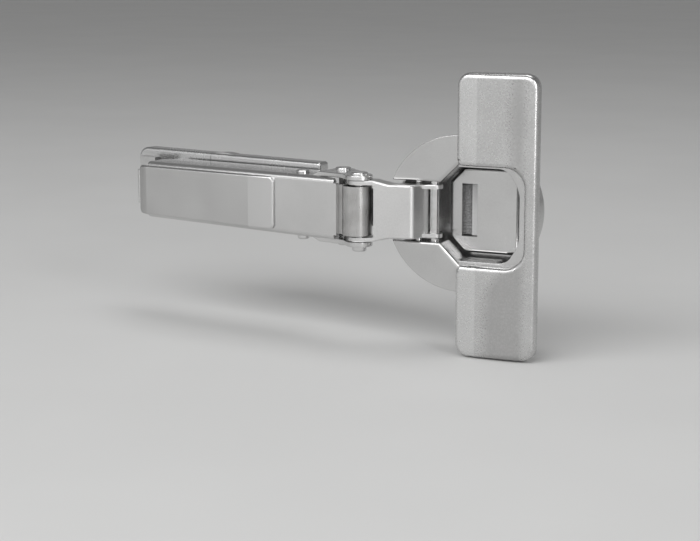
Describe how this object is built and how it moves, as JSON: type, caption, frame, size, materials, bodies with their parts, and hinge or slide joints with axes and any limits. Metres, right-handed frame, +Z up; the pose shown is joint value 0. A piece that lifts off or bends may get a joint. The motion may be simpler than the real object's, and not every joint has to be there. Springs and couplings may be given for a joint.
{
  "type": "concealed cabinet hinge",
  "caption": "Concealed cup hinge with a clip-on arm, cranked links, a damped cup, and a tool-free wing plate, shown with its door open.",
  "frame": {"origin": "centre between the two screw holes, on the mounting plate's back face", "axes": "+X along the arm towards the door, +Y into the cabinet's side panel, +Z up along the door's hinged edge"},
  "size_m": [0.1222, 0.0281, 0.0684],
  "materials": {
    "plated_steel": "satin nickel plate",
    "bright_steel": "bright nickel plate",
    "cast_zinc": "nickel-plated casting, satin",
    "spring_steel": "plain spring steel",
    "dark_plastic": "dark grey acetal",
    "dowel_plastic": "grey nylon"
  },
  "bodies": {
    "plate_body": {"mounting_plate": "cast_zinc", "front_bar": "bright_steel", "rear_bar": "bright_steel", "clip_carrier": "plated_steel", "lever_pivot_pin": "bright_steel"},
    "side_screw_body": {"side_screw": "bright_steel"},
    "depth_cam_body": {"depth_cam": "bright_steel"},
    "release_lever_body": {"release_lever": "cast_zinc", "release_spring": "spring_steel"},
    "arm_body": {"arm": "plated_steel", "cover_cap": "plated_steel", "front_pin": "bright_steel", "rear_pin": "bright_steel", "cross_rivet": "bright_steel", "closing_spring": "spring_steel"},
    "outer_link_body": {"outer_link": "plated_steel"},
    "cup_body": {"cup": "plated_steel", "rim_plate": "plated_steel", "cup_pin": "bright_steel", "inner_cup_pin": "bright_steel", "damper_housing": "plated_steel", "damper_cylinder": "bright_steel", "dowel_upper": "dowel_plastic", "dowel_lower": "dowel_plastic"},
    "inner_link_body": {"inner_link": "plated_steel"},
    "damper_slider_body": {"damper_slider": "dark_plastic", "damper_rod": "bright_steel"},
    "wing_lever_body": {"wing_lever": "cast_zinc", "lever_pin_upper": "bright_steel", "lever_pin_lower": "bright_steel"},
    "dowel_cores_body": {"dowel_core_upper": "cast_zinc", "dowel_core_lower": "cast_zinc"}
  },
  "joints": [
    {"name": "door_swing", "type": "hinge", "parent": "arm_body", "child": "outer_link_body", "pos_m": [0.0407, -0.0123, 0], "axis": [0, 0, -1], "range_deg": [-60.47, 4.01]},
    {"name": "cup_turn", "type": "hinge", "parent": "outer_link_body", "child": "cup_body", "pos_m": [0.05631, -0.00265, 0], "axis": [0, 0, 1], "range_deg": [-160.81, 10.68]},
    {"name": "inner_link_turn", "type": "hinge", "parent": "cup_body", "child": "inner_link_body", "pos_m": [0.05163, -0.00259, 0], "axis": [0, 0, 1], "range_deg": [-10.15, 152.9]},
    {"name": "damper_slide", "type": "slide", "parent": "cup_body", "child": "damper_slider_body", "axis": [0.9838, 0.1795, 0], "range_m": [-0.00016, 0.0024]},
    {"name": "arm_slide", "type": "slide", "parent": "plate_body", "child": "arm_body", "axis": [1, 0, 0], "range_m": [-0.00208, 0.00208]},
    {"name": "depth_cam_turn", "type": "hinge", "parent": "plate_body", "child": "depth_cam_body", "pos_m": [-0.012, -0.0128, 0], "axis": [0, 1, 0], "range_deg": [-45, 45]},
    {"name": "side_screw_turn", "type": "hinge", "parent": "plate_body", "child": "side_screw_body", "pos_m": [0.002, -0.0135, 0], "axis": [0, 1, 0], "range_deg": [-180, 180]},
    {"name": "release_press", "type": "hinge", "parent": "plate_body", "child": "release_lever_body", "pos_m": [-0.0215, -0.009, 0], "axis": [0, 0, 1], "range_deg": [0, 10]},
    {"name": "wing_lever_lift", "type": "hinge", "parent": "cup_body", "child": "wing_lever_body", "pos_m": [0.08232, -0.00146, 0], "axis": [0, 0, 1], "range_deg": [0, 75]},
    {"name": "dowel_spread", "type": "slide", "parent": "cup_body", "child": "dowel_cores_body", "axis": [-0.1795, 0.9838, 0], "range_m": [0, 0.00105]}
  ],
  "couplings": [
    {"joint": "cup_turn", "follows": "door_swing", "ratio": 2.6594},
    {"joint": "inner_link_turn", "follows": "door_swing", "ratio": -2.5286},
    {"joint": "damper_slide", "follows": "door_swing", "m_per_rad": -0.002274},
    {"joint": "depth_cam_turn", "follows": "arm_slide", "rad_per_m": 377.36},
    {"joint": "wing_lever_lift", "follows": "dowel_spread", "rad_per_m": 1250}
  ]
}
